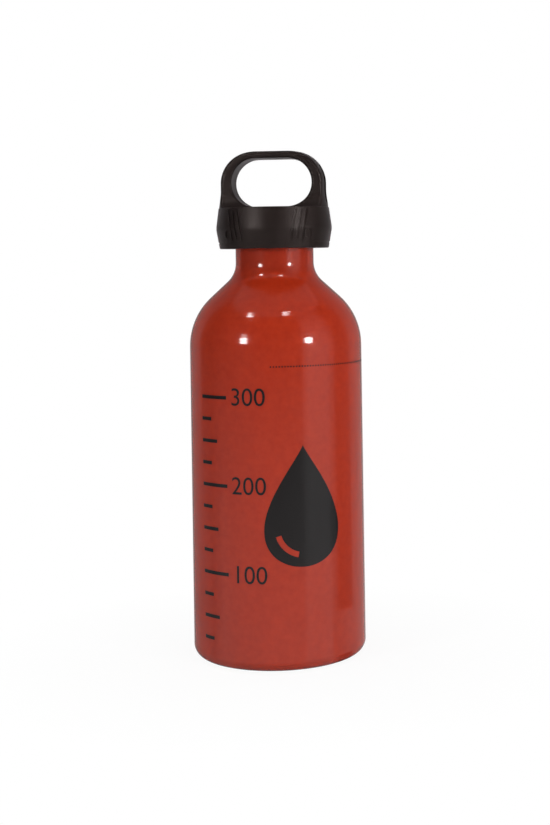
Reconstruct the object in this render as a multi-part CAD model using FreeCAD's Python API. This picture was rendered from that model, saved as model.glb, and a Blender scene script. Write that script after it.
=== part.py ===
import FreeCAD, Part
import math
import os

from FreeCAD import Vector

os.makedirs("parts", exist_ok=True)

# Camping fuel bottle: a one-piece aluminium bottle closed by a push-and-turn screw cap.
# Millimetres. The origin is the middle of the foot, +Z runs up the axis, and the carry loop spans X.

# Bottle shell
barrel_radius = 32.5
barrel_wall = 1.0
shoulder_start = 116.5
shoulder_radius = 24.9
shoulder_angle = 47.5
neck_radius = 14.8
neck_fillet = 9.5
neck_length = 9.05
neck_wall = 2.0
bore_fillet = 4.0
mouth_round = 0.5
foot_corner = 4.5
foot_edge_round = 2.0
foot_width = 4.5
dome_rise = 5.0
base_wall = 1.4

# Right-hand screw thread between the neck and the plug
thread_pitch = 3.0
thread_height = 1.1
thread_flank = 20.0
thread_clearance = 0.3
thread_lead_in = 1.0

# Mouth seal, a rubber ring
seal_section = 2.2
seal_gap = 0.1
seal_rim_inset = 1.2

# Threaded plug
flange_overhang = 4.0
flange_thickness = 2.4
flange_round = 0.4
stem_length = 13.0
stem_wall = 2.8
stem_round = 0.8
stem_floor = 2.0
vent_width = 3.0

# Drive lugs, one ring on the plug and one inside the cover
lug_count = 12
lug_height = 1.6
lug_length = 4.0
lug_angle = 13.0
lug_inset = 1.2
lug_gap = 0.6

# Return spring
spring_wire = 1.1
spring_turns = 5.5
spring_clearance = 0.6
spring_seat_gap = 0.1

# Cap cover: collar
skirt_clearance = 0.4
skirt_wall = 1.5
skirt_overlap = 3.7
skirt_edge_round = 0.5
belt_bulge = 1.35
belt_height = 7.6
belt_round = 8.0
crown_bulge = 0.3
crown_round = 0.2
roof_thickness = 3.1
bead_catch = 0.7
bead_height = 1.0
bead_clearance = 0.2
spigot_length = 8.0
spigot_round = 1.0

# Cap cover: moulded marks on the collar, the same on the front and the back
groove_count = 3
groove_first_angle = 29.5
groove_step_angle = 5.9
groove_slant_angle = 5.5
groove_width = 0.8
groove_depth = 0.3
mark_margin = 0.8
rim_band_height = 2.2
rim_line_width = 0.5
rim_line_depth = 0.2
dimple_angle = 43.0
dimple_height = 5.4
dimple_width = 2.2
dimple_length = 3.0
dimple_depth = 0.3
dimple_round = 0.8

# Cap cover: carry loop
loop_rise = 21.4
loop_inset = 0.75
loop_depth = 13.0
loop_corner = 12.1
loop_ease_height = 5.6
loop_ease_round = 12.0
loop_bar = 2.65
loop_leg = 4.8
loop_edge_round = 1.2
window_sill = 0.3
window_edge_round = 1.0
flare_height = 5.6
flare_round = 6.0
flare_angle = 60.0
recess_width = 6.0
recess_depth = 0.8
recess_round = 1.8
recess_bottom = 1.4
recess_length = 15.0

# Heights and radii that follow
dome_edge_radius = barrel_radius - foot_corner - foot_width
half_turn = math.tan(math.radians(shoulder_angle) / 2)
slope = math.tan(math.radians(shoulder_angle))
shoulder_corner = shoulder_start + shoulder_radius * half_turn
neck_corner = shoulder_corner + (barrel_radius - neck_radius) / slope
mouth = neck_corner + neck_fillet * half_turn + neck_length
bore_radius = neck_radius - neck_wall
cone_wall = barrel_wall / math.cos(math.radians(shoulder_angle))
bore_corner = shoulder_corner + (barrel_radius - cone_wall - bore_radius) / slope
bore_bottom = bore_corner + bore_fillet * half_turn

thread_crest = bore_radius - thread_height
stem_radius = thread_crest - thread_clearance
thread_engaged = thread_height + thread_clearance
thread_taper = math.tan(math.radians(thread_flank))
thread_base = thread_pitch / 2 - thread_clearance + thread_engaged * thread_taper

seal_inner_radius = neck_radius - seal_rim_inset - seal_section / 2
seal_spigot_radius = seal_inner_radius - seal_gap
flange_bottom = mouth + seal_section + 2 * seal_gap
flange_top = flange_bottom + flange_thickness
flange_radius = neck_radius + flange_overhang
stem_bottom = flange_bottom - stem_length
well_radius = stem_radius - stem_wall
well_floor = stem_bottom + stem_floor

lug_outer = flange_radius - lug_inset
lug_inner = lug_outer - lug_length
plug_lug_top = flange_top + lug_height
cover_lug_bottom = plug_lug_top + lug_gap
roof_bottom = cover_lug_bottom + lug_height
roof_top = roof_bottom + roof_thickness

spring_radius = well_radius - spring_clearance - spring_wire / 2
spigot_radius = spring_radius - spring_wire / 2 - spring_clearance

skirt_bore = flange_radius + skirt_clearance
skirt_bottom = mouth - skirt_overlap
skirt_radius = skirt_bore + skirt_wall
belt_radius = skirt_radius + belt_bulge
belt = skirt_bottom + belt_height
crown_radius = skirt_radius + crown_bulge
loop_half = crown_radius - loop_inset - crown_round
loop_top = roof_top + loop_rise
window_half = loop_half - loop_leg
window_top = loop_top - loop_bar
window_bottom = roof_top + window_sill
loop_low = roof_top - loop_edge_round

AXIS_FOOT = Vector(0, 0, 0)
UP = Vector(0, 0, 1)
FORWARD = Vector(0, -1, 0)
BACK = Vector(0, 1, 0)
ACROSS = Vector(1, 0, 0)


def rounded_path(corners):
    # Edges through (x, z, round) corners in the XZ plane. The first and last corners stay sharp.
    points = [Vector(x, 0, z) for x, z, size in corners]
    edges = []
    last = points[0]
    for i in range(1, len(points) - 1):
        corner = points[i]
        size = corners[i][2]
        if size == 0:
            edges.append(Part.LineSegment(last, corner).toShape())
            last = corner
            continue
        back = (points[i - 1] - corner).normalize()
        ahead = (points[i + 1] - corner).normalize()
        half_angle = back.getAngle(ahead) / 2
        start = corner + back * (size / math.tan(half_angle))
        end = corner + ahead * (size / math.tan(half_angle))
        inward = (back + ahead).normalize()
        middle = corner + inward * (size / math.sin(half_angle) - size)
        if last.distanceToPoint(start) > 1e-6:
            edges.append(Part.LineSegment(last, start).toShape())
        edges.append(Part.Arc(start, middle, end).toShape())
        last = end
    if last.distanceToPoint(points[-1]) > 1e-6:
        edges.append(Part.LineSegment(last, points[-1]).toShape())
    return edges


def turned(edges):
    # A solid of revolution about the bottle's axis from a closed outline.
    return Part.Face(Part.Wire(edges)).revolve(AXIS_FOOT, UP, 360)


def prism(edges, depth):
    # A closed outline in the XZ plane, extruded to both sides of it.
    face = Part.Face(Part.Wire(edges))
    face.translate(FORWARD * (depth / 2))
    return face.extrude(BACK * depth)


def thread_ridge(base_radius, crest_radius, low, high, level):
    # A right-hand ridge between two heights. Its middle passes the +X side at the given level.
    outward = 1 if crest_radius > base_radius else -1
    tip_half = thread_base / 2 - thread_height * thread_taper
    foot_half = thread_base / 2 + thread_clearance * thread_taper
    sunk = base_radius - outward * thread_clearance
    outline = [
        Vector(sunk, 0, -foot_half),
        Vector(crest_radius, 0, -tip_half),
        Vector(crest_radius, 0, tip_half),
        Vector(sunk, 0, foot_half),
    ]
    start = low + thread_base / 2
    height = high - low - thread_base
    path = Part.Wire(Part.makeHelix(thread_pitch, height, base_radius))
    section = Part.makePolygon(outline + [outline[0]])
    ridge = path.makePipeShell([section], True, True)
    ridge.rotate(AXIS_FOOT, UP, 360 * (start - level) / thread_pitch)
    ridge.translate(UP * start)
    return ridge


def lug_ring(low, high, first_angle):
    # A ring of equal lugs, each a sector of a flat ring.
    lugs = []
    corners = [(lug_inner, low, 0), (lug_outer, low, 0), (lug_outer, high, 0), (lug_inner, high, 0)]
    section = Part.Face(Part.Wire(rounded_path(corners + corners[:1])))
    for i in range(lug_count):
        lug = section.revolve(AXIS_FOOT, UP, lug_angle)
        lug.rotate(AXIS_FOOT, UP, first_angle + 360 * i / lug_count - lug_angle / 2)
        lugs.append(lug)
    return lugs


def make_bottle_shell():
    dome_radius = (dome_edge_radius**2 + dome_rise**2) / (2 * dome_rise)
    dome_centre = dome_rise - dome_radius
    inner_dome_radius = dome_radius + base_wall
    inner_dome_edge = math.sqrt(inner_dome_radius**2 - (base_wall - dome_centre) ** 2)
    inner_shift = barrel_wall * half_turn
    inner_radius = barrel_radius - barrel_wall

    wall = rounded_path(
        [
            (dome_edge_radius, 0, 0),
            (barrel_radius, 0, foot_corner),
            (barrel_radius, shoulder_corner, shoulder_radius),
            (neck_radius, neck_corner, neck_fillet),
            (neck_radius, mouth, mouth_round),
            (bore_radius, mouth, mouth_round),
            (bore_radius, bore_corner, bore_fillet),
            (inner_radius, shoulder_corner - inner_shift, shoulder_radius - barrel_wall),
            (inner_radius, base_wall, foot_corner - barrel_wall),
            (inner_dome_edge, base_wall, 0),
        ]
    )

    def dome_arc(edge, edge_height, radius):
        middle_angle = math.asin(edge / radius) / 2
        start = Vector(edge, 0, edge_height)
        middle = Vector(math.sin(middle_angle), 0, math.cos(middle_angle)) * radius
        top = UP * radius
        return Part.Arc(start, middle + UP * dome_centre, top + UP * dome_centre).toShape()

    inside = dome_arc(inner_dome_edge, base_wall, inner_dome_radius)
    centre = Part.LineSegment(Vector(0, 0, dome_rise + base_wall), Vector(0, 0, dome_rise)).toShape()
    outside = dome_arc(dome_edge_radius, 0, dome_radius)
    shell = turned(wall + [inside, centre, outside])

    foot_edges = []
    for edge in shell.Edges:
        box = edge.BoundBox
        if box.ZLength < 1e-6 and abs(box.ZMax) < 1e-6 and abs(box.XMax - dome_edge_radius) < 1e-6:
            foot_edges.append(edge)
    shell = shell.makeFillet(foot_edge_round, foot_edges)

    ridge = thread_ridge(bore_radius, thread_crest, bore_bottom, mouth - thread_lead_in, mouth)
    return shell.fuse(ridge)


def make_threaded_plug():
    body = turned(
        rounded_path(
            [
                (0, stem_bottom, 0),
                (stem_radius, stem_bottom, stem_round),
                (stem_radius, mouth, 0),
                (seal_spigot_radius, mouth + seal_gap, 0),
                (seal_spigot_radius, flange_bottom, 0),
                (flange_radius, flange_bottom, flange_round),
                (flange_radius, flange_top, flange_round),
                (well_radius, flange_top, flange_round),
                (well_radius, well_floor, stem_round),
                (0, well_floor, 0),
                (0, stem_bottom, 0),
            ]
        )
    )
    ridge = thread_ridge(
        stem_radius,
        stem_radius + thread_height,
        stem_bottom + thread_lead_in,
        mouth - thread_clearance,
        mouth + thread_pitch / 2,
    )
    vent = Part.makeBox(thread_engaged, vent_width, stem_length)
    vent.translate(Vector(stem_radius, -vent_width / 2, stem_bottom))
    ridge = ridge.cut(vent)
    lug_root = flange_top - flange_thickness / 2
    return body.multiFuse([ridge] + lug_ring(lug_root, plug_lug_top, 0))


def make_mouth_seal():
    half_section = seal_section / 2
    centre = UP * (mouth + seal_gap + half_section)
    return Part.makeTorus(seal_inner_radius + half_section, half_section, centre)


def make_return_spring():
    low = well_floor + spring_seat_gap + spring_wire / 2
    high = roof_bottom - spring_seat_gap - spring_wire / 2
    path = Part.Wire(Part.makeHelix((high - low) / spring_turns, high - low, spring_radius))
    centre = ACROSS * spring_radius
    out = ACROSS * (spring_wire / 2)
    over = UP * (spring_wire / 2)
    top = Part.Arc(centre + out, centre + over, centre - out).toShape()
    underside = Part.Arc(centre - out, centre - over, centre + out).toShape()
    spring = path.makePipeShell([Part.Wire([top, underside])], True, True)
    spring.translate(UP * low)
    return spring


def collar_solid(inset):
    # The collar's outer form, filled, with its sides moved in by the inset.
    return turned(
        rounded_path(
            [
                (0, skirt_bottom, 0),
                (skirt_radius - inset, skirt_bottom, skirt_edge_round),
                (belt_radius - inset, belt, belt_round),
                (crown_radius - inset, roof_top, crown_round),
                (0, roof_top, 0),
                (0, skirt_bottom, 0),
            ]
        )
    )


def collar_skin(depth):
    # The layer of the collar's side within the depth of its surface.
    return collar_solid(-depth).cut(collar_solid(depth))


def cover_hollow():
    # The room under the roof, with the retaining bead standing into it below the plug's flange.
    open_end = skirt_bottom - skirt_overlap
    bead_top = flange_bottom - bead_clearance
    bead_radius = flange_radius - bead_catch
    bead_ramp = skirt_bore - bead_radius
    return turned(
        rounded_path(
            [
                (0, open_end, 0),
                (skirt_bore, open_end, 0),
                (skirt_bore, bead_top - bead_height - bead_ramp, 0),
                (bead_radius, bead_top - bead_height, 0),
                (bead_radius, bead_top, 0),
                (skirt_bore, bead_top, 0),
                (skirt_bore, roof_bottom, 0),
                (0, roof_bottom, 0),
                (0, open_end, 0),
            ]
        )
    )


def spring_spigot():
    low = roof_bottom - spigot_length
    root = roof_bottom + roof_thickness / 2
    return turned(
        rounded_path(
            [
                (0, low, 0),
                (spigot_radius, low, spigot_round),
                (spigot_radius, root, 0),
                (0, root, 0),
                (0, low, 0),
            ]
        )
    )


def leaning_bar(x, low, high, width, lean):
    # A bar through the cap from front to back. Its lower end stands nearer the middle by the lean.
    half = width / 2
    return prism(
        rounded_path(
            [
                (x - lean - half, low, 0),
                (x - lean + half, low, 0),
                (x + half, high, 0),
                (x - half, high, 0),
                (x - lean - half, low, 0),
            ]
        ),
        4 * belt_radius,
    )


def rounded_bar(x, low, high, width, corner):
    # An upright bar through the cap from front to back, with round corners.
    half = width / 2
    return prism(
        rounded_path(
            [
                (x, low, 0),
                (x + half, low, corner),
                (x + half, high, corner),
                (x - half, high, corner),
                (x - half, low, corner),
                (x, low, 0),
            ]
        ),
        4 * belt_radius,
    )


def collar_marks():
    # Slanted grooves beside a plain panel, a dimple outside them and a line above the rim band.
    rim_line = skirt_bottom + rim_band_height
    low = rim_line + mark_margin
    high = roof_top - mark_margin
    dimple_low = skirt_bottom + dimple_height - dimple_length / 2
    dimple_high = dimple_low + dimple_length
    grooves = []
    dimples = []
    for side in (-1, 1):
        for i in range(groove_count):
            angle = math.radians(groove_first_angle + i * groove_step_angle)
            foot_angle = angle - math.radians(groove_slant_angle)
            x = belt_radius * math.sin(angle)
            lean = x - belt_radius * math.sin(foot_angle)
            grooves.append(leaning_bar(side * x, low, high, groove_width, side * lean))
        x = belt_radius * math.sin(math.radians(dimple_angle))
        dimples.append(rounded_bar(side * x, dimple_low, dimple_high, dimple_width, dimple_round))
    line = Part.makeCylinder(2 * belt_radius, rim_line_width, Vector(0, 0, rim_line - rim_line_width / 2))
    marks = []
    for depth, bars in ((groove_depth, grooves), (dimple_depth, dimples), (rim_line_depth, [line])):
        skin = collar_skin(depth)
        marks += [skin.common(bar) for bar in bars]
    return marks


def window_edges():
    # The loop's opening: a flat oval with half-round ends.
    middle = (window_top + window_bottom) / 2
    end_centre = window_half - (window_top - window_bottom) / 2
    top = Vector(end_centre, 0, window_top)
    bottom = Vector(end_centre, 0, window_bottom)
    right = Part.Arc(top, Vector(window_half, 0, middle), bottom).toShape()
    left = right.mirror(AXIS_FOOT, ACROSS)
    across = [Part.LineSegment(Vector(-p.x, 0, p.z), p).toShape() for p in (top, bottom)]
    return Part.sortEdges([right, left] + across)[0]


def loop_crown(inset):
    # The loop's turned outer form, which carries on from the collar, with its skin moved in.
    root_radius = crown_radius - crown_round
    root_lean = (root_radius - loop_half) / loop_ease_height
    return turned(
        rounded_path(
            [
                (0, loop_low, 0),
                (root_radius + (roof_top - loop_low) * root_lean - inset, loop_low, 0),
                (loop_half - inset, roof_top + loop_ease_height, loop_ease_round),
                (loop_half - inset, loop_top - inset, loop_corner - inset),
                (0, loop_top - inset, 0),
                (0, loop_low, 0),
            ]
        )
    )


def loop_slab():
    # The loop's depth seen from the side: flat faces that flare out towards the collar.
    half_depth = loop_depth / 2
    flare_top = roof_top + flare_height
    lean = math.radians(flare_angle)

    def on_flare(angle):
        out = half_depth + flare_round * (1 - math.cos(angle))
        return Vector(-belt_radius, out, flare_top - flare_round * math.sin(angle))

    foot = on_flare(lean)
    toe = Vector(-belt_radius, foot.y + (foot.z - loop_low) * math.tan(lean), loop_low)
    brow = Vector(-belt_radius, half_depth, loop_top + loop_bar)
    back = [
        Part.LineSegment(brow, on_flare(0)).toShape(),
        Part.Arc(on_flare(0), on_flare(lean / 2), foot).toShape(),
        Part.LineSegment(foot, toe).toShape(),
    ]
    front = [edge.mirror(AXIS_FOOT, BACK) for edge in back]
    ends = [Part.LineSegment(p, Vector(p.x, -p.y, p.z)).toShape() for p in (brow, toe)]
    outline = Part.Wire(Part.sortEdges(back + front + ends)[0])
    return Part.Face(outline).extrude(ACROSS * (2 * belt_radius))


def side_recesses():
    # A shallow round-cornered recess in the outer side of each leg.
    low = roof_top + recess_bottom
    tool = rounded_bar(0, low, low + recess_length, recess_width, recess_round)
    tool.rotate(AXIS_FOOT, UP, 90)
    return loop_crown(-recess_depth).cut(loop_crown(recess_depth)).common(tool)


def corner_edges(shape, keep):
    # The edges that pass the test, and where two faces meet at a corner and not in a smooth join.
    found = []
    for edge in shape.Edges:
        faces = shape.ancestorsOfType(edge, Part.Face)
        if len(faces) != 2 or not keep(edge.BoundBox):
            continue
        at = edge.valueAt((edge.FirstParameter + edge.LastParameter) / 2)
        normals = [face.normalAt(*face.Surface.parameter(at)) for face in faces]
        if normals[0].getAngle(normals[1]) > math.radians(25):
            found.append(edge)
    return found


def make_loop():
    hidden = (roof_top + loop_low) / 2
    window_rim = window_half + loop_leg / 2

    def on_outside(box):
        return box.ZMax > hidden

    def on_window(box):
        within = -window_rim < box.XMin and box.XMax < window_rim
        return within and hidden < box.ZMax < window_top + loop_bar / 2

    outer_round = min(loop_edge_round, 0.45 * loop_bar)
    window_round = min(window_edge_round, 0.45 * loop_bar)
    block = loop_crown(0).common(loop_slab())
    block = block.makeFillet(outer_round, corner_edges(block, on_outside))
    loop = block.cut(prism(window_edges(), 4 * belt_radius))
    loop = loop.makeFillet(window_round, corner_edges(loop, on_window))
    return loop.cut(side_recesses())


def make_cap_cover():
    cover = collar_solid(0).fuse(make_loop())
    cover = cover.cut(cover_hollow())
    half_step = 180 / lug_count
    lug_root = roof_bottom + roof_thickness / 2
    inside = lug_ring(cover_lug_bottom, lug_root, half_step) + [spring_spigot()]
    cover = cover.multiFuse(inside)
    return cover.cut(Part.makeCompound(collar_marks())).removeSplitter()


parts = {
    "bottle_shell": make_bottle_shell(),
    "threaded_plug": make_threaded_plug(),
    "mouth_seal": make_mouth_seal(),
    "return_spring": make_return_spring(),
    "cap_cover": make_cap_cover(),
}
for name, shape in parts.items():
    shape.exportStep("parts/" + name + ".step")
    print(name, "valid", shape.isValid(), "solids", len(shape.Solids), "volume", round(shape.Volume, 1))
spring_pitch = (roof_bottom - well_floor - 2 * spring_seat_gap - spring_wire) / spring_turns
print("gap between the spring's turns", round(spring_pitch - spring_wire, 2))
print("mouth", round(mouth, 2), "collar top", round(roof_top, 2), "loop top", round(loop_top, 2))
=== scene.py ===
import math

import bmesh
import bpy
from mathutils import Matrix, Vector


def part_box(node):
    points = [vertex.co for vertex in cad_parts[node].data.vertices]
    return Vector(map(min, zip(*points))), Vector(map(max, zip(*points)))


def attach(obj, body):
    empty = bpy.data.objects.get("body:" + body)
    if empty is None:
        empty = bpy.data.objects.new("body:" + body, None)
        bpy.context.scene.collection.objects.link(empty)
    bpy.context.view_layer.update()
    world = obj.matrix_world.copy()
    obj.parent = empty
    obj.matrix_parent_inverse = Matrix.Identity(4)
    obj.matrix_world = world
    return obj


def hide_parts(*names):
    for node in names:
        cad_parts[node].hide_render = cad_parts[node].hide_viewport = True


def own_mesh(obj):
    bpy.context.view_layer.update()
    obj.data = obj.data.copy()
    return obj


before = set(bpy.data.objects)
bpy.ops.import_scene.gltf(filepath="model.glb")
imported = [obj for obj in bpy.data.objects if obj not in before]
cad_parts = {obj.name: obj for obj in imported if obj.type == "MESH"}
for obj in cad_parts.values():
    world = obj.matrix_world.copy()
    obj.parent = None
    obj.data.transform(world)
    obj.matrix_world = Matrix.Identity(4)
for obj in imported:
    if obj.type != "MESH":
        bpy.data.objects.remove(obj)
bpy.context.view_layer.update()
mm = 0.001
print("frame loaded:", ", ".join(sorted(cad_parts)))


# steps, node trees and meshes, shared by all the pieces

def between(first, last, count=12):
    return [first + (last - first) * i / count for i in range(count + 1)]


def addNode(tree, kind, inputs=None, **settings):
    node = tree.nodes.new(kind)
    for name, value in settings.items():
        setattr(node, name, value)
    for socket, value in (inputs or {}).items():
        if isinstance(value, bpy.types.NodeSocket):
            tree.links.new(value, node.inputs[socket])
        else:
            node.inputs[socket].default_value = value
    return node


def calc(tree, operation, *values):
    return addNode(tree, "ShaderNodeMath", dict(enumerate(values)), operation=operation).outputs[0]


def newTree(name, inputs):
    tree = bpy.data.node_groups.new(name, "GeometryNodeTree")
    for label, kind in inputs.items():
        tree.interface.new_socket(label, in_out="INPUT", socket_type="NodeSocket" + kind)
    tree.interface.new_socket("Geometry", in_out="OUTPUT", socket_type="NodeSocketGeometry")
    return tree, tree.nodes.new("NodeGroupInput").outputs


def endTree(tree, geometry, material):
    painted = addNode(tree, "GeometryNodeSetMaterial", {"Geometry": geometry, "Material": material})
    addNode(tree, "NodeGroupOutput", {"Geometry": painted.outputs[0]})


def newPiece(name, mesh):
    piece = bpy.data.objects.new(name, mesh)
    bpy.context.scene.collection.objects.link(piece)
    return piece


def grow(name, tree, values):
    # runs a tree on an empty object and keeps the result as a plain mesh
    piece = newPiece(name, bpy.data.meshes.new(name))
    modifier = piece.modifiers.new("grow", "NODES")
    modifier.node_group = tree
    for item in tree.interface.items_tree:
        if item.in_out == "INPUT":
            modifier[item.identifier] = values[item.name]
    bpy.context.view_layer.update()
    result = piece.evaluated_get(bpy.context.evaluated_depsgraph_get())
    mesh = bpy.data.meshes.new_from_object(result)
    piece.modifiers.remove(modifier)
    mesh.materials.clear()   # the tree's primitives leave an empty slot ahead of the material
    mesh.materials.append(values["Material"])
    mesh.polygons.foreach_set("material_index", [0] * len(mesh.polygons))
    piece.data = mesh
    return piece


def closeUp(piece):
    # caps open ends, and turns every face outwards
    shape = bmesh.new()
    shape.from_mesh(piece.data)
    bmesh.ops.holes_fill(shape, edges=shape.edges[:])
    bmesh.ops.recalc_face_normals(shape, faces=shape.faces[:])
    shape.to_mesh(piece.data)
    shape.free()


# finishes

noiseRange = (0.3, 0.7)   # most of a noise lies between these


def newMaterial(name, values):
    material = bpy.data.materials.new(name)
    material.use_nodes = True
    tree = material.node_tree
    shader = tree.nodes["Principled BSDF"]
    for socket, value in values.items():
        shader.inputs[socket].default_value = value
    return material, tree, shader


def noise(tree, size, detail=2.0, stretch=(1, 1, 1)):
    # size is a typical blob in metres
    place = addNode(tree, "ShaderNodeTexCoord").outputs["Object"]
    scaled = addNode(tree, "ShaderNodeMapping", {"Vector": place, "Scale": stretch}).outputs[0]
    return addNode(tree, "ShaderNodeTexNoise", {
        "Vector": scaled, "Scale": 1 / size, "Detail": detail}).outputs[0]


def spread(tree, value, low, high):
    return addNode(tree, "ShaderNodeMapRange", {
        0: value, 1: noiseRange[0], 2: noiseRange[1], 3: low, 4: high}).outputs[0]


def twoTone(tree, value, dark, light):
    stretched = spread(tree, value, 0.0, 1.0)
    mix = addNode(tree, "ShaderNodeMix", {"Factor": stretched}, data_type="RGBA")
    mix.inputs["A"].default_value = (*dark, 1)
    mix.inputs["B"].default_value = (*light, 1)
    return mix.outputs["Result"]


def paint(tree, shader, colour, roughness, height, bump, depth):
    tree.links.new(colour, shader.inputs["Base Color"])
    tree.links.new(roughness, shader.inputs["Roughness"])
    roughen(tree, shader, height, bump, depth, "Normal")


def roughen(tree, shader, height, bump, depth, socket):
    normal = addNode(tree, "ShaderNodeBump", {"Height": height, "Strength": bump, "Distance": depth})
    tree.links.new(normal.outputs[0], shader.inputs[socket])


def redLacquer():
    # baked enamel: a mottled red under a clear gloss with a little orange peel
    material, tree, shader = newMaterial("redLacquer", {
        "Coat Weight": 1.0, "Coat Roughness": 0.11, "Coat IOR": 1.48, "Specular IOR Level": 0.05})
    mottle = noise(tree, size=2.4 * mm, detail=4.0)
    colour = twoTone(tree, mottle, dark=(0.35, 0.021, 0.004), light=(0.4, 0.027, 0.006))
    grain = noise(tree, size=0.3 * mm)
    paint(tree, shader, colour, spread(tree, mottle, 0.5, 0.6), grain, bump=0.08, depth=0.02 * mm)
    peel = noise(tree, size=1.6 * mm, detail=1.0)
    roughen(tree, shader, peel, bump=0.05, depth=0.02 * mm, socket="Coat Normal")
    return material


def bareAluminium():
    material, tree, shader = newMaterial("bareAluminium", {"Metallic": 1.0})
    drawn = noise(tree, size=0.4 * mm, detail=3.0, stretch=(1, 1, 0.05))
    colour = twoTone(tree, drawn, dark=(0.52, 0.52, 0.53), light=(0.62, 0.62, 0.63))
    paint(tree, shader, colour, spread(tree, drawn, 0.35, 0.5), drawn, bump=0.15, depth=0.03 * mm)
    return material


def mouldedPlastic(name, dark, light, roughness):
    # fine spark-eroded grain with faint flow marks down the moulding
    material, tree, shader = newMaterial(name, {
        "Specular IOR Level": 0.32, "Specular Tint": (1, 0.88, 0.84, 1),
        "Sheen Weight": 0.4, "Sheen Roughness": 0.25, "Sheen Tint": (1, 0.86, 0.92, 1)})
    grain = noise(tree, size=0.22 * mm)
    flow = noise(tree, size=5.0 * mm, detail=3.0, stretch=(1, 1, 0.25))
    colour = twoTone(tree, flow, dark, light)
    uneven = spread(tree, flow, roughness - 0.05, roughness + 0.06)
    paint(tree, shader, colour, uneven, grain, bump=0.18, depth=0.03 * mm)
    return material


def blackInk():
    material, tree, shader = newMaterial("blackInk", {
        "Coat Weight": 0.6, "Coat Roughness": 0.11, "Specular IOR Level": 0.1})
    speckle = noise(tree, size=0.25 * mm, detail=3.0)
    colour = twoTone(tree, speckle, dark=(0.004, 0.0028, 0.0028), light=(0.008, 0.0055, 0.0055))
    paint(tree, shader, colour, spread(tree, speckle, 0.4, 0.55), speckle, bump=0.1, depth=0.01 * mm)
    return material


def sealRubber():
    material, tree, shader = newMaterial("sealRubber", {"Specular IOR Level": 0.35})
    bloom = noise(tree, size=1.2 * mm, detail=3.0)
    colour = twoTone(tree, bloom, dark=(0.012, 0.012, 0.012), light=(0.024, 0.023, 0.022))
    grain = noise(tree, size=0.15 * mm)
    paint(tree, shader, colour, spread(tree, bloom, 0.6, 0.75), grain, bump=0.15, depth=0.02 * mm)
    return material


def springSteel():
    material, tree, shader = newMaterial("springSteel", {"Metallic": 1.0})
    drawn = noise(tree, size=0.5 * mm, detail=4.0)
    colour = twoTone(tree, drawn, dark=(0.5, 0.49, 0.47), light=(0.64, 0.63, 0.61))
    paint(tree, shader, colour, spread(tree, drawn, 0.22, 0.36), drawn, bump=0.08, depth=0.01 * mm)
    return material


lacquer = redLacquer()
bareMetal = bareAluminium()
ink = blackInk()
capBlack = mouldedPlastic("capBlack", (0.0105, 0.006, 0.0052), (0.0135, 0.0084, 0.0076), roughness=0.42)
plugBlack = mouldedPlastic("plugBlack", (0.02, 0.02, 0.021), (0.028, 0.028, 0.03), roughness=0.5)
print("finishes made")


# turned and coiled shapes: an outline in the XZ plane, carried round the axis

weld = 0.002 * mm   # points of a carried outline that are closer than this become one


def roundedOutline(corners, step=math.radians(5)):
    # points through (radius, height, corner round) in mm, with arcs at the round corners
    points = [Vector((r, 0, z)) for r, z, size in corners]
    outline = [points[0]]
    for before, corner, after, size in zip(points, points[1:], points[2:], [c[2] for c in corners[1:]]):
        if size == 0:
            outline.append(corner)
            continue
        back = (before - corner).normalized()
        ahead = (after - corner).normalized()
        half = back.angle(ahead) / 2
        centre = corner + (back + ahead).normalized() * (size / math.sin(half))
        start = corner + back * (size / math.tan(half)) - centre
        end = corner + ahead * (size / math.tan(half)) - centre
        count = max(2, math.ceil(start.angle(end) / step))
        outline += [centre + start.slerp(end, i / count).normalized() * size for i in range(count + 1)]
    return outline + [points[-1]]


def divided(outline, longest=6.0, shortest=2.0, guard=0.4):
    # extra points on long straight runs, two of them close to the ends, so that shading stays even
    out = [outline[0]]
    for a, b in zip(outline, outline[1:]):
        run = (b - a).length
        if run > shortest:
            inner = max(1, math.ceil((run - 2 * guard) / longest))
            out += [a.lerp(b, (guard + (run - 2 * guard) * i / inner) / run) for i in range(inner + 1)]
        out.append(b)
    return out


def outlineObject(name, points):
    mesh = bpy.data.meshes.new(name)
    mesh.from_pydata([p * mm for p in points], [(i, i + 1) for i in range(len(points) - 1)], [])
    return newPiece(name, mesh)


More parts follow.
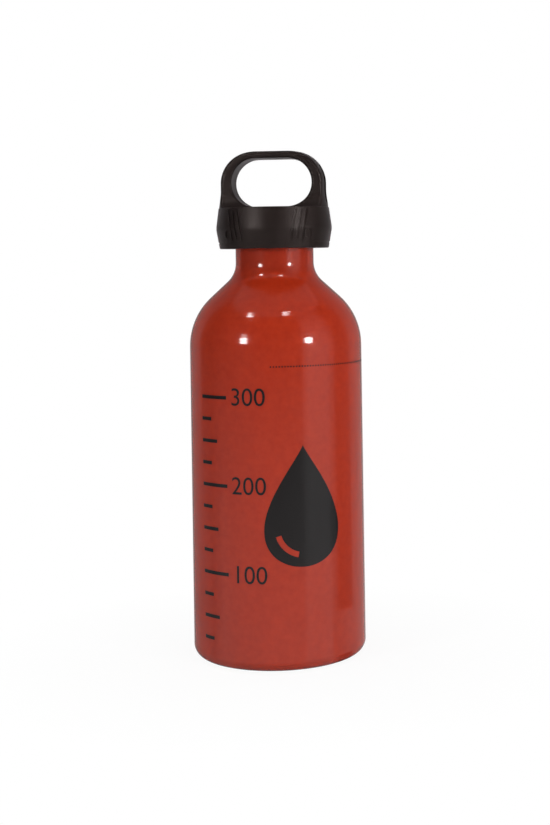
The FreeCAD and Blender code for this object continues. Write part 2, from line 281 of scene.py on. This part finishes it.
def turnTree():
    kinds = {"Outline": "Object", "Steps": "Int", "Turns": "Float", "Rise": "Float", "Start": "Float",
             "Closed ends": "Float", "Closed rise": "Float", "Material": "Material"}
    tree, given = newTree("carriedRound", kinds)
    outline = addNode(tree, "GeometryNodeObjectInfo", {0: given["Outline"]}).outputs["Geometry"]
    domain = addNode(tree, "GeometryNodeAttributeDomainSize", {0: outline}, component="MESH")
    count = domain.outputs["Point Count"]
    columns = calc(tree, "ADD", given["Steps"], 1.0)
    grid = addNode(tree, "GeometryNodeMeshGrid", {"Vertices X": columns, "Vertices Y": count})
    index = addNode(tree, "GeometryNodeInputIndex").outputs[0]
    row = calc(tree, "MODULO", index, count)
    share = calc(tree, "DIVIDE", calc(tree, "FLOOR", calc(tree, "DIVIDE", index, count)), given["Steps"])
    position = addNode(tree, "GeometryNodeInputPosition").outputs[0]
    point = addNode(tree, "GeometryNodeSampleIndex", {"Geometry": outline, "Value": position, "Index": row},
                    data_type="FLOAT_VECTOR", domain="POINT").outputs[0]
    part = addNode(tree, "ShaderNodeSeparateXYZ", {0: point}).outputs
    turned = calc(tree, "MULTIPLY", share, given["Turns"])
    angle = calc(tree, "ADD", calc(tree, "MULTIPLY", turned, math.tau), given["Start"])
    # coils lie close together at both ends, and rise faster between them
    openFrom = calc(tree, "DIVIDE", given["Closed ends"], given["Turns"])
    openTo = calc(tree, "SUBTRACT", 1.0, openFrom)
    opened = addNode(tree, "ShaderNodeMapRange", {0: share, 1: openFrom, 2: openTo}).outputs[0]
    closeRise = calc(tree, "MULTIPLY", turned, given["Closed rise"])
    rest = calc(tree, "SUBTRACT", given["Rise"], calc(tree, "MULTIPLY", given["Turns"], given["Closed rise"]))
    height = calc(tree, "ADD", calc(tree, "ADD", part["Z"], closeRise), calc(tree, "MULTIPLY", opened, rest))
    across = calc(tree, "MULTIPLY", part["X"], calc(tree, "COSINE", angle))
    along = calc(tree, "MULTIPLY", part["X"], calc(tree, "SINE", angle))
    place = addNode(tree, "ShaderNodeCombineXYZ", {0: across, 1: along, 2: height}).outputs[0]
    mapped = addNode(tree, "GeometryNodeStoreNamedAttribute", {
        "Geometry": grid.outputs["Mesh"], "Name": "UVMap", "Value": grid.outputs["UV Map"]},
        data_type="FLOAT2", domain="CORNER").outputs[0]
    moved = addNode(tree, "GeometryNodeSetPosition", {"Geometry": mapped, "Position": place}).outputs[0]
    merged = addNode(tree, "GeometryNodeMergeByDistance", {"Geometry": moved, "Distance": weld}).outputs[0]
    smooth = addNode(tree, "GeometryNodeSetShadeSmooth", {"Geometry": merged}).outputs[0]
    endTree(tree, smooth, given["Material"])
    return tree


carriedRound = turnTree()


def carryRound(name, outline, material, steps, turns=1.0, rise=0.0, start=0.0,
               closedEnds=0.0, closedRise=0.0):
    guide = outlineObject(name + "Outline", outline)
    piece = grow(name, carriedRound, {
        "Outline": guide, "Steps": steps, "Turns": turns, "Rise": rise * mm, "Start": start,
        "Closed ends": closedEnds, "Closed rise": closedRise * mm, "Material": material})
    bpy.data.objects.remove(guide)
    closeUp(piece)
    return piece


# the bottle, in mm and degrees: outside, mouth and inside in one outline, and the thread in its neck

bottle = dict(
    barrelRadius=32.5, barrelWall=1.0, shoulderStart=116.5, shoulderRound=24.9, shoulderAngle=47.5,
    neckRadius=14.8, neckRound=9.5, neckLength=9.05, neckWall=2.0, boreRound=4.0, mouthRound=0.5,
    footRound=4.5, footWidth=4.5, footEdgeRound=2.0, domeRise=5.0, baseWall=1.4,
    threadPitch=3.0, threadHeight=1.1, threadTip=0.9, threadRoot=1.75, threadLeadIn=1.0, threadSunk=0.3,
    steps=224, threadSteps=260)

halfTurn = math.tan(math.radians(bottle["shoulderAngle"]) / 2)
slope = math.tan(math.radians(bottle["shoulderAngle"]))
shoulderCorner = bottle["shoulderStart"] + bottle["shoulderRound"] * halfTurn
neckCorner = shoulderCorner + (bottle["barrelRadius"] - bottle["neckRadius"]) / slope
mouth = neckCorner + bottle["neckRound"] * halfTurn + bottle["neckLength"]
boreRadius = bottle["neckRadius"] - bottle["neckWall"]
coneWall = bottle["barrelWall"] / math.cos(math.radians(bottle["shoulderAngle"]))
boreCorner = shoulderCorner + (bottle["barrelRadius"] - coneWall - boreRadius) / slope


def dome(edge, low, radius, count=14):
    # points of a shallow cap from the axis out to its edge
    span = math.asin(edge / radius)
    drop = radius * math.cos(span) - low
    angles = [span * i / count for i in range(count)]
    return [(radius * math.sin(a), radius * math.cos(a) - drop, 0) for a in angles]


def buildBottle():
    b = bottle
    inner = b["barrelRadius"] - b["barrelWall"]
    edge = b["barrelRadius"] - b["footRound"] - b["footWidth"]
    radius = (edge**2 + b["domeRise"]**2) / (2 * b["domeRise"])
    innerEdge = math.sqrt((radius + b["baseWall"])**2 - (b["baseWall"] + radius - b["domeRise"])**2)
    outside = dome(edge, 0, radius) + [
        (edge, 0, b["footEdgeRound"]),
        (b["barrelRadius"], 0, b["footRound"]),
        (b["barrelRadius"], shoulderCorner, b["shoulderRound"]),
        (b["neckRadius"], neckCorner, b["neckRound"]),
        (b["neckRadius"], mouth, b["mouthRound"]),
        (boreRadius, mouth, b["mouthRound"])]
    inside = [
        (boreRadius, boreCorner, b["boreRound"]),
        (inner, shoulderCorner - b["barrelWall"] * halfTurn, b["shoulderRound"] - b["barrelWall"]),
        (inner, b["baseWall"], b["footRound"] - b["barrelWall"]),
        (innerEdge, b["baseWall"], 0)]
    inside += dome(innerEdge, b["baseWall"], radius + b["baseWall"])[::-1]
    body = carryRound("bottleBody", divided(roundedOutline(outside + inside)), lacquer, b["steps"])
    # the inside is bare metal, from the mouth's inner edge down to the floor over the dome
    body.data.materials.append(bareMetal)
    tilt = 0.1   # a face that leans up or down has a normal past this
    for face in body.data.polygons:
        low = face.center.z < 2 * b["domeRise"] * mm
        inward = face.normal.x * face.center.x + face.normal.y * face.center.y < 0
        underside = low and face.normal.z < -tilt
        innerFloor = low and face.normal.z > tilt
        lip = not low and Vector(face.center[:2]).length < (boreRadius + b["mouthRound"] / 2) * mm
        face.material_index = 1 if (inward and not underside) or innerFloor or lip else 0
    return body


def buildNeckThread():
    b = bottle
    low = boreCorner + b["boreRound"] * halfTurn + b["threadRoot"] / 2
    high = mouth - b["threadLeadIn"] - b["threadRoot"] / 2
    crest = boreRadius - b["threadHeight"]
    root = boreRadius + b["threadSunk"]
    section = [
        Vector((root, 0, -b["threadRoot"] / 2)), Vector((root, 0, b["threadRoot"] / 2)),
        Vector((crest, 0, b["threadTip"] / 2)), Vector((crest, 0, -b["threadTip"] / 2)),
        Vector((root, 0, -b["threadRoot"] / 2))]
    turns = (high - low) / b["threadPitch"]
    start = math.tau * (low - mouth) / b["threadPitch"]
    ridge = carryRound("neckThread", section, bareMetal, b["threadSteps"], turns, high - low, start)
    for vertex in ridge.data.vertices:
        vertex.co.z += low * mm
    ridge.data.shade_flat()
    return ridge


bottleBody = buildBottle()
neckThread = buildNeckThread()
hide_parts("bottle_shell")
for piece in (bottleBody, neckThread):
    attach(piece, "bottle")
print("bottle turned:", len(bottleBody.data.polygons), "faces")


# the return spring, which shortens as the cover is pressed

spring = dict(wire=1.1, turns=6.5, closedEnds=1.0, closedRise=1.12, clear=0.02, steps=420, wireSides=14)


def buildSpring():
    s = spring
    low, high = (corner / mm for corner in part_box("return_spring"))
    half = s["wire"] / 2
    radius = high.x - half
    ring = [math.tau * i / s["wireSides"] for i in range(s["wireSides"] + 1)]
    section = [Vector((radius + half * math.cos(a), 0, half * math.sin(a))) for a in ring]
    rise = high.z - low.z - s["wire"] - s["clear"]
    coil = carryRound("returnSpring", section, springSteel(), s["steps"], s["turns"], rise,
                      closedEnds=s["closedEnds"], closedRise=s["closedRise"])
    for vertex in coil.data.vertices:
        vertex.co.z += (low.z + half + s["clear"] / 2) * mm
    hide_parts("return_spring")
    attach(coil, "spring")
    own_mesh(coil)


buildSpring()
print("spring coiled")


# cap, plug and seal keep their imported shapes

def refinish(node, material):
    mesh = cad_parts[node].data
    mesh.materials.clear()
    mesh.materials.append(material)


refinish("cap_cover", capBlack)
refinish("threaded_plug", plugBlack)
refinish("mouth_seal", sealRubber())
print("cap finished")


# printed marks: a dotted fill line, a plain level scale that counts up to it, and a drop

marks = dict(sunk=0.02, proud=0.03)
fillLine = dict(height=110.4, fromAngle=4.5, toAngle=92.0, dots=48, dotSize=0.62, dotSides=12)
levelScale = dict(
    fullVolume=335.0, step=25.0, ticks=12, angle=-49.0, numbers=(100, 200, 300),
    longTick=13.0, middleTick=8.5, shortTick=5.5, thickness=1.3, tickPoints=18,
    digits=6.4, digitGap=1.7, digitShare=0.7)   # digitShare: a digit's height in the font's size
dropMark = dict(
    height=44.0, width=29.0, angle=24.5, middle=60.0, waist=1.35, points=120, broadFrom=0.499,
    gleam=(0.6, 0.74), gleamFrom=196, gleamTo=258, gleamSteps=20)
millilitre = 1000.0   # in cubic mm
linePrint = {"Radius": "Float", "First": "Vector", "Gap": "Vector", "Count": "Int", "Depth": "Float",
             "Material": "Material"}   # what both rows of marks are given

inkDepth = marks["sunk"] + marks["proud"]
inkMiddle = (marks["proud"] - marks["sunk"]) / 2


def arcLength(degrees):
    return bottle["barrelRadius"] * math.radians(degrees)


def wrapOnBarrel(tree, geometry, radius):
    # x runs round the barrel from its front, y up it, and z out of it
    position = addNode(tree, "GeometryNodeInputPosition").outputs[0]
    part = addNode(tree, "ShaderNodeSeparateXYZ", {0: position}).outputs
    angle = calc(tree, "DIVIDE", part["X"], radius)
    out = calc(tree, "ADD", part["Z"], radius)
    across = calc(tree, "MULTIPLY", out, calc(tree, "SINE", angle))
    towards = calc(tree, "MULTIPLY", calc(tree, "MULTIPLY", out, calc(tree, "COSINE", angle)), -1.0)
    place = addNode(tree, "ShaderNodeCombineXYZ", {0: across, 1: towards, 2: part["Y"]}).outputs[0]
    return addNode(tree, "GeometryNodeSetPosition", {"Geometry": geometry, "Position": place}).outputs[0]


def spacedPoints(tree, given):
    return addNode(tree, "GeometryNodeMeshLine", {
        "Count": given["Count"], "Start Location": given["First"], "Offset": given["Gap"]},
        mode="OFFSET").outputs[0]


def endPrint(tree, given, row):
    real = addNode(tree, "GeometryNodeRealizeInstances", {"Geometry": row}).outputs[0]
    endTree(tree, wrapOnBarrel(tree, real, given["Radius"]), given["Material"])


def dotTree():
    tree, given = newTree("dottedLine", {**linePrint, "Dot size": "Float"})
    dotRadius = calc(tree, "MULTIPLY", given["Dot size"], 0.5)
    dot = addNode(tree, "GeometryNodeMeshCylinder", {
        "Vertices": fillLine["dotSides"], "Radius": dotRadius, "Depth": given["Depth"]}).outputs[0]
    dots = addNode(tree, "GeometryNodeInstanceOnPoints", {
        "Points": spacedPoints(tree, given), "Instance": dot}).outputs[0]
    endPrint(tree, given, dots)
    return tree


def tickTree():
    # every fourth tick is long, and every second one between is of middle length
    lengths = {"Long": "Float", "Middle": "Float", "Short": "Float", "Thickness": "Float"}
    tree, given = newTree("levelTicks", {**linePrint, **lengths})
    number = calc(tree, "ADD", addNode(tree, "GeometryNodeInputIndex").outputs[0], 1.0)
    fourth = calc(tree, "COMPARE", calc(tree, "MODULO", number, 4.0), 0.0, 0.1)
    second = calc(tree, "COMPARE", calc(tree, "MODULO", number, 2.0), 0.0, 0.1)
    length = addNode(tree, "ShaderNodeMix", {0: second, 2: given["Short"], 3: given["Middle"]}).outputs[0]
    length = addNode(tree, "ShaderNodeMix", {0: fourth, 2: length, 3: given["Long"]}).outputs[0]
    size = addNode(tree, "ShaderNodeCombineXYZ", {
        0: 1.0, 1: given["Thickness"], 2: given["Depth"]}).outputs[0]
    bar = addNode(tree, "GeometryNodeMeshCube", {
        "Size": size, "Vertices X": levelScale["tickPoints"]}).outputs[0]
    shift = addNode(tree, "GeometryNodeTransform", {"Geometry": bar, "Translation": (0.5, 0, 0)}).outputs[0]
    stretch = addNode(tree, "ShaderNodeCombineXYZ", {0: length, 1: 1.0, 2: 1.0}).outputs[0]
    bars = addNode(tree, "GeometryNodeInstanceOnPoints", {
        "Points": spacedPoints(tree, given), "Instance": shift, "Scale": stretch}).outputs[0]
    endPrint(tree, given, bars)
    return tree


def buildFillLine():
    f = fillLine
    first = arcLength(f["fromAngle"])
    gap = (arcLength(f["toAngle"]) - first) / (f["dots"] - 1)
    return grow("fillLine", dotTree(), {
        "Radius": bottle["barrelRadius"] * mm, "First": Vector((first, f["height"], inkMiddle)) * mm,
        "Gap": Vector((gap, 0, 0)) * mm, "Count": f["dots"], "Dot size": f["dotSize"] * mm,
        "Depth": inkDepth * mm, "Material": ink})


def heightOf(volume):
    area = math.pi * (bottle["barrelRadius"] - bottle["barrelWall"])**2
    return fillLine["height"] - (levelScale["fullVolume"] - volume) * millilitre / area


def buildTicks():
    s = levelScale
    first = Vector((arcLength(s["angle"]), heightOf(s["step"]), inkMiddle))
    return grow("levelTicks", tickTree(), {
        "Radius": bottle["barrelRadius"] * mm, "First": first * mm,
        "Gap": Vector((0, heightOf(2 * s["step"]) - heightOf(s["step"]), 0)) * mm, "Count": s["ticks"],
        "Long": s["longTick"] * mm, "Middle": s["middleTick"] * mm, "Short": s["shortTick"] * mm,
        "Thickness": s["thickness"] * mm, "Depth": inkDepth * mm, "Material": ink})


def wrapMesh(mesh, cut=0.8 * mm, join=0.001 * mm):
    # the same wrap for flat lettering, cut into narrow strips first so that it bends evenly
    shape = bmesh.new()
    shape.from_mesh(mesh)
    xs = [v.co.x for v in shape.verts]
    for i in range(1, math.ceil((max(xs) - min(xs)) / cut)):
        parts = shape.verts[:] + shape.edges[:] + shape.faces[:]
        bmesh.ops.bisect_plane(shape, geom=parts, plane_co=(min(xs) + i * cut, 0, 0), plane_no=(1, 0, 0))
    radius = bottle["barrelRadius"] * mm
    for v in shape.verts:
        angle = v.co.x / radius
        out = radius + v.co.z
        v.co = (out * math.sin(angle), -out * math.cos(angle), v.co.y)
    bmesh.ops.remove_doubles(shape, verts=shape.verts[:], dist=join)
    bmesh.ops.recalc_face_normals(shape, faces=shape.faces[:])
    shape.to_mesh(mesh)
    shape.free()


def pressOn(name, curve, x, y):
    # turns a flat curve into a thin print on the barrel
    holder = newPiece(name + "Holder", curve)
    bpy.context.view_layer.update()
    mesh = bpy.data.meshes.new_from_object(holder.evaluated_get(bpy.context.evaluated_depsgraph_get()))
    bpy.data.objects.remove(holder)
    mesh.transform(Matrix.Translation(Vector((x, y, inkMiddle)) * mm))
    wrapMesh(mesh)
    mesh.materials.clear()
    mesh.materials.append(ink)
    return newPiece(name, mesh)


def buildDigits(volume):
    s = levelScale
    curve = bpy.data.curves.new("digits", "FONT")
    curve.body = str(volume)
    curve.size = s["digits"] * mm / s["digitShare"]
    curve.extrude = inkDepth * mm / 2
    curve.align_y = "CENTER"
    left = arcLength(s["angle"]) + s["longTick"] + s["digitGap"]
    return pressOn("levelDigits" + str(volume), curve, left, heightOf(volume))


def buildDrop():
    # a plain drop with a gleam left open in it
    d = dropMark
    curve = bpy.data.curves.new("drop", "CURVE")
    curve.dimensions = "2D"
    curve.fill_mode = "BOTH"
    curve.extrude = inkDepth * mm / 2
    turn = [math.tau * i / d["points"] for i in range(d["points"])]
    rim = [(math.sin(t) * math.sin(t / 2)**d["waist"], math.cos(t)) for t in turn]
    broad = max(x for x, y in rim)
    rim = [(x / broad * d["width"] / 2, y * d["height"] / 2) for x, y in rim]
    bowl = [y for x, y in rim if x > d["broadFrom"] * d["width"]][0]   # where the drop is broadest
    sweep = [math.radians(a) for a in between(d["gleamFrom"], d["gleamTo"], d["gleamSteps"])]
    near, far = [share * d["width"] / 2 for share in d["gleam"]]
    inner = [(near * math.cos(a), bowl + near * math.sin(a)) for a in sweep]
    outer = [(far * math.cos(a), bowl + far * math.sin(a)) for a in sweep]
    for points in (rim, inner + outer[::-1]):
        spline = curve.splines.new("POLY")
        spline.points.add(len(points) - 1)
        spline.use_cyclic_u = True
        for point, (x, y) in zip(spline.points, points):
            point.co = (x * mm, y * mm, 0, 1)
    return pressOn("dropMark", curve, arcLength(d["angle"]), d["middle"])


prints = [buildFillLine(), buildTicks(), buildDrop()]
prints += [buildDigits(volume) for volume in levelScale["numbers"]]
for piece in prints:
    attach(piece, "bottle")
print("marks printed:", len(prints), "pieces")


# camera: level, a little to the right of the loop's front, with a slight roll

view = dict(
    imageWidth=550, imageHeight=825, focalPixels=1488.0, lensAxisX=385.5, lensAxisY=255.15,
    distance=567.5, height=150.0, side=42.28, turn=4.0, roll=0.0152, sensor=36.0, clipStart=10.0)


def buildCamera():
    v = view
    data = bpy.data.cameras.new("camera")
    data.sensor_fit = "VERTICAL"
    data.sensor_height = v["sensor"]
    data.lens = v["focalPixels"] / v["imageHeight"] * v["sensor"]
    data.shift_x = (v["imageWidth"] / 2 - v["lensAxisX"]) / v["imageHeight"]
    data.shift_y = (v["lensAxisY"] - v["imageHeight"] / 2) / v["imageHeight"]
    data.clip_start = v["clipStart"] * mm
    camera = newPiece("camera", data)
    turn = Matrix.Rotation(math.radians(v["turn"]), 3, "Z")
    right = turn @ Vector((1, 0, 0))
    ahead = turn @ Vector((0, 1, 0))
    up = Vector((0, 0, 1))
    rolledRight = right * math.cos(v["roll"]) - up * math.sin(v["roll"])
    rolledUp = up * math.cos(v["roll"]) + right * math.sin(v["roll"])
    facing = Matrix((rolledRight, rolledUp, -ahead)).transposed()
    place = turn @ Vector((v["side"], -v["distance"], v["height"])) * mm
    camera.matrix_world = Matrix.Translation(place) @ facing.to_4x4()
    bpy.context.scene.camera = camera


buildCamera()
print("camera placed")


# studio: white table and backdrop, dim cards around the part, four lamps in front and two behind

studio = dict(
    floorSize=12.0, tableGrey=0.9, shadowFrom=0.03, shadowTo=0.12, shadowWhite=0.93,
    backdropDistance=4.0, backdropHeight=5.0, backdropSides=64,
    horizon=0.14, zenith=0.4, mirrored=0.28, glint=32.0, glintSides=40, lampTarget=0.12)
white = (1, 1, 1, 1)
lamps = {   # each shows in reflections as a disc of its size
    "lampLeft": dict(azimuth=-35, elevation=12.5, distance=0.9, width=0.17, height=0.17, power=1.0),
    "lampRight": dict(azimuth=52, elevation=10, distance=0.9, width=0.17, height=0.17, power=3.3),
    "lampHighLeft": dict(azimuth=-41, elevation=51, distance=1.0, width=0.14, height=0.1, power=1.5),
    "lampHighRight": dict(azimuth=31, elevation=59, distance=1.0, width=0.14, height=0.05, power=1.5)}
rimLamps = {   # these only lighten the edges, and no disc shows them in reflections
    "lampRimLeft": dict(azimuth=-125, elevation=8, distance=0.9, width=0.3, height=0.3, power=2.2),
    "lampRimRight": dict(azimuth=125, elevation=8, distance=0.9, width=0.3, height=0.3, power=1.4)}
cards = {   # from azimuth, to azimuth, brightness, brightness of the table in front of it
    "cardFront": (-74, 43, 0.1, 0.7),
    "cardRightEdge": (43, 49, 0.45, 0.95),
    "cardRight": (49, 82, 0.78, 0.85),
    "cardRightFade": (82, 91, 0.45, 0.5),
    "cardRightGap": (91, 122, 0.1, 0.15),
    "cardBackRight": (122, 180, 0.3, 0.4),
    "cardLeftFade": (-84, -74, 0.07, 0.52),
    "cardLeftGap": (-112, -84, 0.04, 0.35),
    "cardBackLeft": (-180, -112, 0.26, 0.26)}
behindCard = (180, 540, 0.28, 0.33)   # the strip of table straight behind the barrel
cardWall = dict(distance=1.2, height=1.6, fade=0.3)   # they dim towards the top
tableCard = dict(near=0.0055, far=0.47, low=0.0008, high=0.085)
footShadowCard = dict(radius=0.028, brightness=0.05)   # painted shade: a dark strip under the foot's edge, seen only in reflections, in place of the table's shadow there
paleCard = dict(fromAzimuth=89, toAzimuth=122, reach=0.047, over=0.0003, brightness=0.5)
cameraAzimuth = view["turn"] + math.degrees(math.atan(view["side"] / view["distance"]))


def around(azimuth, elevation, distance):
    # azimuth runs from the front towards the right of the picture
    a, e = math.radians(azimuth), math.radians(elevation)
    return Vector((math.sin(a) * math.cos(e), -math.cos(a) * math.cos(e), math.sin(e))) * distance


def seenRays(tree):
    path = addNode(tree, "ShaderNodeLightPath").outputs
    seen = calc(tree, "MAXIMUM", path["Is Camera Ray"], path["Is Glossy Ray"])
    return calc(tree, "MAXIMUM", seen, path["Is Transmission Ray"])


def newGlow(name):
    material = bpy.data.materials.new(name)
    material.use_nodes = True
    material.node_tree.nodes.clear()
    return material, material.node_tree


def shine(tree, strength):
    glow = addNode(tree, "ShaderNodeEmission", {"Color": white, "Strength": strength}).outputs[0]
    addNode(tree, "ShaderNodeOutputMaterial", {"Surface": glow})


def raised(points, height):
    return [p + Vector((0, 0, height)) for p in points]


def besideBarrel(azimuth, distance, radius=bottle["barrelRadius"] * mm):
    # out from the place on the barrel that mirrors this azimuth to the camera, so that bands stay upright;
    # past 180 the place goes on round the back, and out is straight back
    return around((azimuth + cameraAzimuth) / 2, 0, radius) + around(min(azimuth, 180), 0, distance)


def hangSheet(name, lower, upper):
    # a strip of faces between two rows of points; it shows in reflections, and adds no light
    mesh = bpy.data.meshes.new(name)
    row = len(lower)
    mesh.from_pydata(lower + upper, [], [(i, i + 1, i + row + 1, i + row) for i in range(row - 1)])
    return newSheet(name, mesh)


def newSheet(name, mesh):
    sheet = newPiece(name, mesh)
    sheet.visible_diffuse = False
    sheet.visible_shadow = False
    return sheet


def buildWorld():
    world = bpy.data.worlds.new("studio")
    bpy.context.scene.world = world
    world.use_nodes = True
    tree = world.node_tree
    direction = addNode(tree, "ShaderNodeTexCoord").outputs["Generated"]
    height = addNode(tree, "ShaderNodeSeparateXYZ", {0: direction}).outputs["Z"]
    sky = addNode(tree, "ShaderNodeMapRange", {
        0: height, 1: 0.0, 2: 1.0, 3: studio["horizon"], 4: studio["zenith"]}).outputs[0]
    mirrored = addNode(tree, "ShaderNodeLightPath").outputs["Is Glossy Ray"]
    strength = addNode(tree, "ShaderNodeMix", {0: mirrored, 2: sky, 3: studio["mirrored"]}).outputs[0]
    tree.nodes["Background"].inputs["Color"].default_value = white
    tree.links.new(strength, tree.nodes["Background"].inputs["Strength"])


def buildFloor():
    # white to the eye and in reflections, with a little of its real light near the part for the shadow
    s = studio
    half = s["floorSize"] / 2
    corners = [(-half, -half, 0), (half, -half, 0), (half, half, 0), (-half, half, 0)]
    mesh = bpy.data.meshes.new("floor")
    mesh.from_pydata(corners, [], [(0, 1, 2, 3)])
    floor = newPiece("floor", mesh)
    material, tree = newGlow("paleTable")
    place = addNode(tree, "ShaderNodeTexCoord").outputs["Object"]
    away = addNode(tree, "ShaderNodeVectorMath", {0: place}, operation="LENGTH").outputs["Value"]
    far = addNode(tree, "ShaderNodeMapRange", {
        0: away, 1: s["shadowFrom"], 2: s["shadowTo"], 3: s["shadowWhite"], 4: 1.0}).outputs[0]
    grey = (s["tableGrey"], s["tableGrey"], s["tableGrey"], 1)
    lit = addNode(tree, "ShaderNodeBsdfDiffuse", {"Color": grey}).outputs[0]
    glow = addNode(tree, "ShaderNodeEmission", {"Color": white, "Strength": 1.0}).outputs[0]
    factor = calc(tree, "MULTIPLY", far, seenRays(tree))
    mix = addNode(tree, "ShaderNodeMixShader", {0: factor, 1: lit, 2: glow}).outputs[0]
    addNode(tree, "ShaderNodeOutputMaterial", {"Surface": mix})
    mesh.materials.append(material)


def buildBackdrop():
    ring = [around(a, 0, studio["backdropDistance"]) for a in between(-180, 180, studio["backdropSides"])]
    wall = hangSheet("backdrop", ring, raised(ring, studio["backdropHeight"]))
    material, tree = newGlow("whiteBackdrop")
    shine(tree, seenRays(tree))
    wall.data.materials.append(material)


def buildCard(name, lower, upper, lowGlow, highGlow):
    # brightness runs evenly from the lower edge to the upper edge
    card = hangSheet(name, lower, upper)
    material, tree = newGlow(name)
    place = addNode(tree, "ShaderNodeTexCoord").outputs["Object"]
    level = addNode(tree, "ShaderNodeSeparateXYZ", {0: place}).outputs["Z"]
    strength = addNode(tree, "ShaderNodeMapRange", {
        0: level, 1: lower[0].z, 2: upper[0].z, 3: lowGlow, 4: highGlow}).outputs[0]
    shine(tree, strength)
    card.data.materials.append(material)
    card.visible_camera = False


def buildWallCard(name, fromAzimuth, toAzimuth, brightness):
    wall = [around(a, 0, cardWall["distance"]) for a in between(fromAzimuth, toAzimuth)]
    buildCard(name, wall, raised(wall, cardWall["height"]), brightness, brightness * cardWall["fade"])


def buildTableCard(name, fromAzimuth, toAzimuth, brightness, table):
    t = tableCard
    azimuths = between(fromAzimuth, toAzimuth)
    under = [besideBarrel(a, 0, footShadowCard["radius"]) for a in azimuths]
    near = raised([besideBarrel(a, t["near"]) for a in azimuths], t["low"])
    far = raised([besideBarrel(a, t["far"]) for a in azimuths], t["high"])
    buildCard(name + "Table", near, far, table, brightness)
    # painted shade: the foot's rounded edge mirrors a dark strip here, in place of the shadowed table under
    # it
    buildCard(name + "Foot", under, near, footShadowCard["brightness"], table)


def buildPaleCard():
    # a paler patch of table close by on the right, which ends the dark band there above the foot
    p, t = paleCard, tableCard
    azimuths = between(p["fromAzimuth"], p["toAzimuth"])
    grade = (t["high"] - t["low"]) / (t["far"] - t["near"])
    low = t["low"] + p["over"]
    near = raised([besideBarrel(a, t["near"]) for a in azimuths], low)
    far = raised([besideBarrel(a, p["reach"]) for a in azimuths], low + grade * (p["reach"] - t["near"]))
    buildCard("cardPale", near, far, p["brightness"], p["brightness"])


def buildLamp(name, azimuth, elevation, distance, width, height, power):
    light = bpy.data.lights.new(name, "AREA")
    light.shape = "ELLIPSE"
    light.size = width
    light.size_y = height
    light.energy = power
    target = Vector((0, 0, studio["lampTarget"]))
    place = target + around(azimuth, elevation, distance)
    facing = (target - place).to_track_quat("-Z", "Y")
    lamp = newPiece(name, light)
    lamp.location = place
    lamp.rotation_euler = facing.to_euler()
    lamp.visible_camera = False
    lamp.visible_glossy = False   # a disc in its place shows instead, equally white for a weak lamp
    return place, facing


# painted highlight: a glowing disc in the lamp's place, seen only in reflections, which shines at one
# brightness whatever the lamp's power
def buildDisc(name, width, height, place, facing):
    sides = studio["glintSides"]
    rim = [math.tau * i / sides for i in range(sides)]
    mesh = bpy.data.meshes.new(name + "Glint")
    points = [place + facing @ Vector((math.cos(a) * width / 2, math.sin(a) * height / 2, 0)) for a in rim]
    mesh.from_pydata(points, [], [tuple(range(sides))])
    disc = newSheet(name + "Glint", mesh)
    disc.visible_camera = False
    mesh.materials.append(glint)


buildWorld()
buildFloor()
buildBackdrop()
for name, card in cards.items():
    buildWallCard(name, *card[:3])
    buildTableCard(name, *card)
buildTableCard("cardBehind", *behindCard)
buildPaleCard()
glint, glintTree = newGlow("lampGlint")
shine(glintTree, studio["glint"])
for name, lamp in lamps.items():
    buildDisc(name, lamp["width"], lamp["height"], *buildLamp(name, **lamp))
for name, lamp in rimLamps.items():
    buildLamp(name, **lamp)
print("studio lit:", len(lamps) + len(rimLamps), "lamps")


bpy.context.scene.view_settings.view_transform = "Standard"
